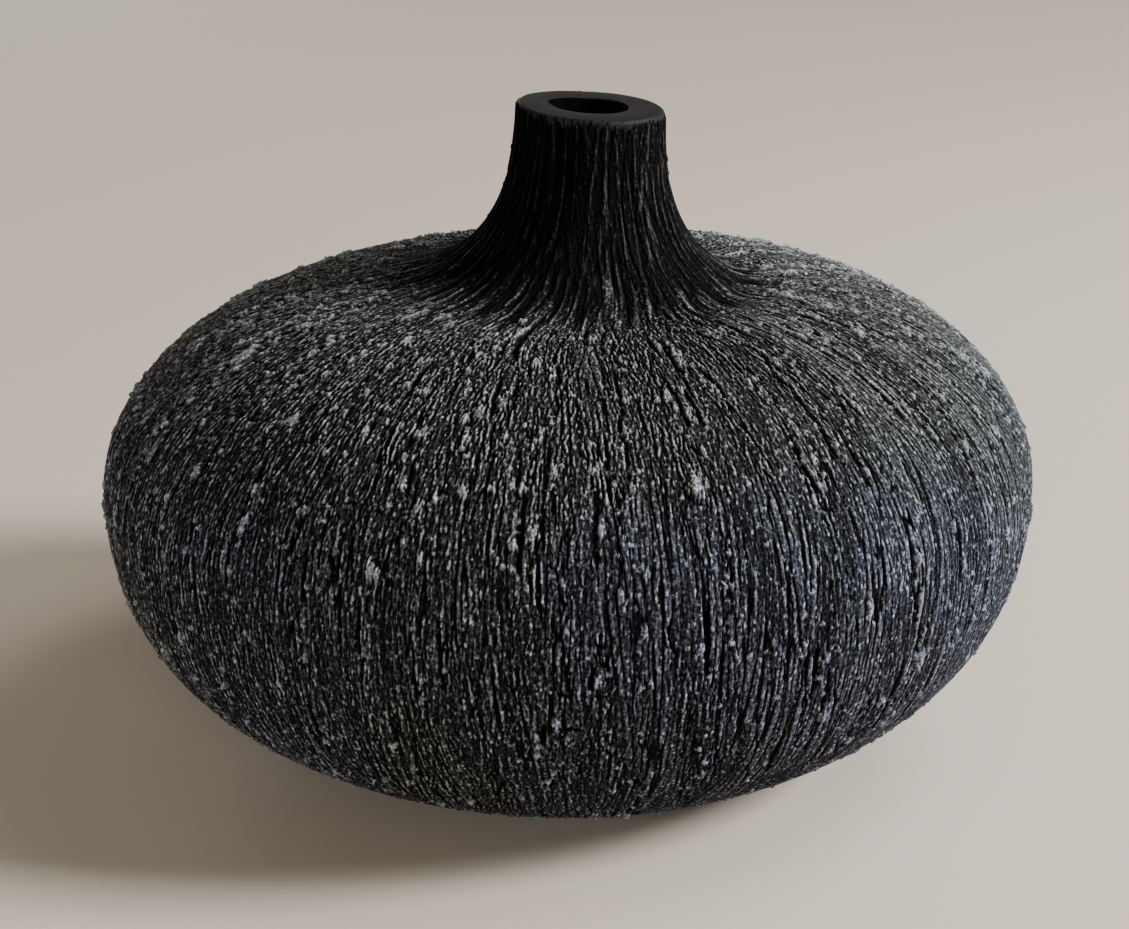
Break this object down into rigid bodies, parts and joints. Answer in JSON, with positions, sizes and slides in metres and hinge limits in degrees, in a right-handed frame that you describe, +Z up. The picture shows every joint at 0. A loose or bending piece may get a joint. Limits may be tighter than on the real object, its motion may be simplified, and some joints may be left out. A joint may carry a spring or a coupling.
{
  "type": "clay pot",
  "caption": "Squat black clay pot with a wide combed belly, a short flared neck that leans slightly, and a small round mouth with a smooth lip.",
  "frame": {"origin": "on the ground, under the middle of the belly", "axes": "+Z up; +X is the way the neck leans; -Y is the side seen from the front"},
  "size_m": [0.18, 0.18, 0.1264],
  "materials": {
    "combed_coat": "matte, coarse combed slip with pale grit",
    "lip_clay": "smooth matte",
    "wall_clay": "matte",
    "base_clay": "matte, scraped"
  },
  "bodies": {
    "root": {"floor_disc": "base_clay", "bowl_course_1": "wall_clay", "bowl_course_2": "wall_clay", "bowl_course_3": "wall_clay", "dome_course_1": "wall_clay", "dome_course_2": "wall_clay", "dome_course_3": "wall_clay", "neck_collar": "wall_clay", "lip_ring": "lip_clay", "floor_joint_coil": "wall_clay", "belly_joint_coil": "wall_clay", "neck_joint_coil": "wall_clay", "lower_coat": "combed_coat", "upper_coat": "combed_coat", "neck_coat": "combed_coat"}
  },
  "joints": []
}
